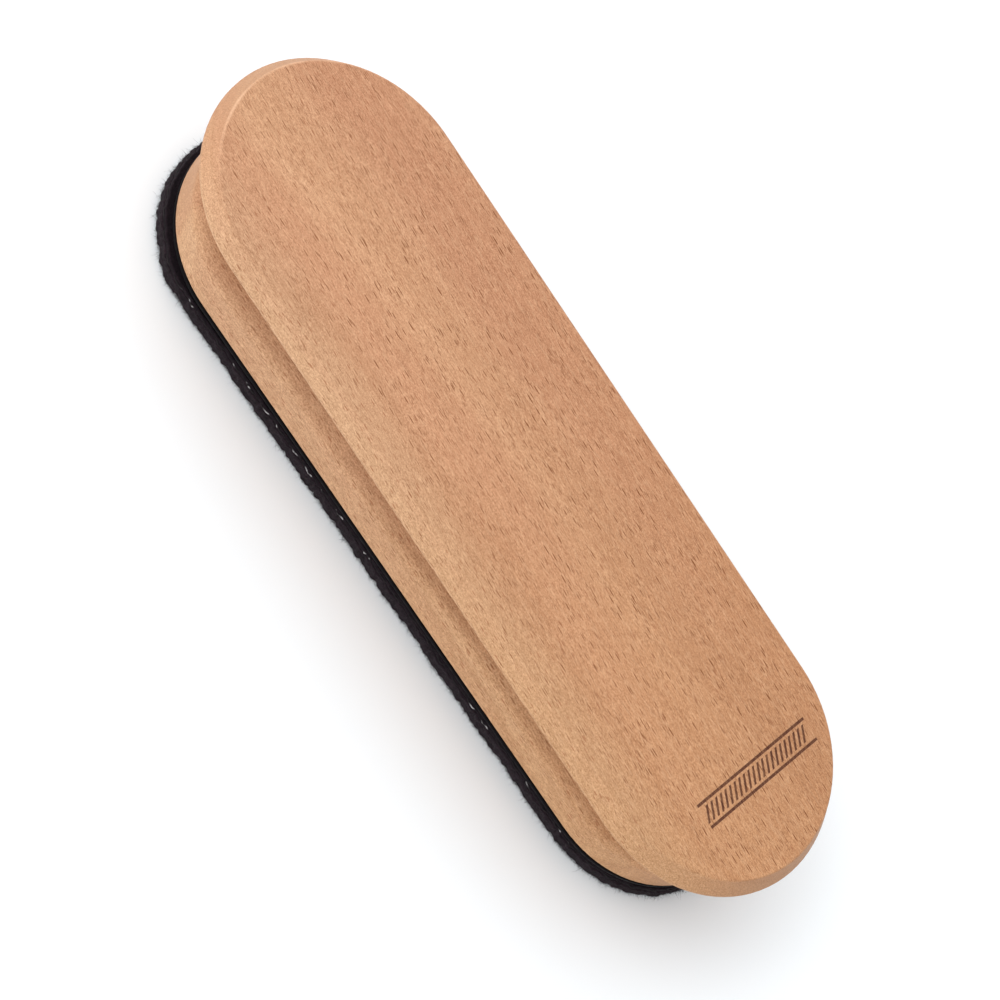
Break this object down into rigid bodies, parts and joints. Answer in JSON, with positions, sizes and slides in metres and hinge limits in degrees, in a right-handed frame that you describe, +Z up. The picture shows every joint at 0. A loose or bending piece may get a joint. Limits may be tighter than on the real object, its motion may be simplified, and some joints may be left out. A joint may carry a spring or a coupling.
{
  "type": "chalkboard eraser",
  "caption": "Hand-held board eraser: a round-ended beech grip plate over a block with a finger groove, and a black felt wiping pad that pulls off its hook sheet.",
  "frame": {"origin": "middle of the wiping face, on the surface that the eraser lies on", "axes": "+X along the length, +Y across the width, +Z up from the wiping face to the grip plate"},
  "size_m": [0.155, 0.05, 0.025],
  "materials": {
    "beech_plate": "sanded, thin satin oil",
    "beech_block": "sanded, thin satin oil",
    "dowel_wood": "raw turned beech",
    "adhesive": "thin milky film",
    "hook_nylon": "black nylon, slight sheen on the hooks",
    "loop_fabric": "black brushed loop knit",
    "felt": "black wool felt with a fuzzy cut edge",
    "thread": "clear nylon thread that glints"
  },
  "bodies": {
    "handle": {"grip_plate": "beech_plate", "base_block": "beech_block", "dowel_pins": "dowel_wood", "adhesive_film": "adhesive", "hook_sheet": "hook_nylon"},
    "pad": {"loop_backing": "loop_fabric", "felt_pad": "felt", "edge_stitches": "thread"}
  },
  "joints": [
    {"name": "pad_pull_off", "type": "slide", "parent": "handle", "child": "pad", "axis": [0, 0, -1], "range_m": [0, 0.03]}
  ]
}
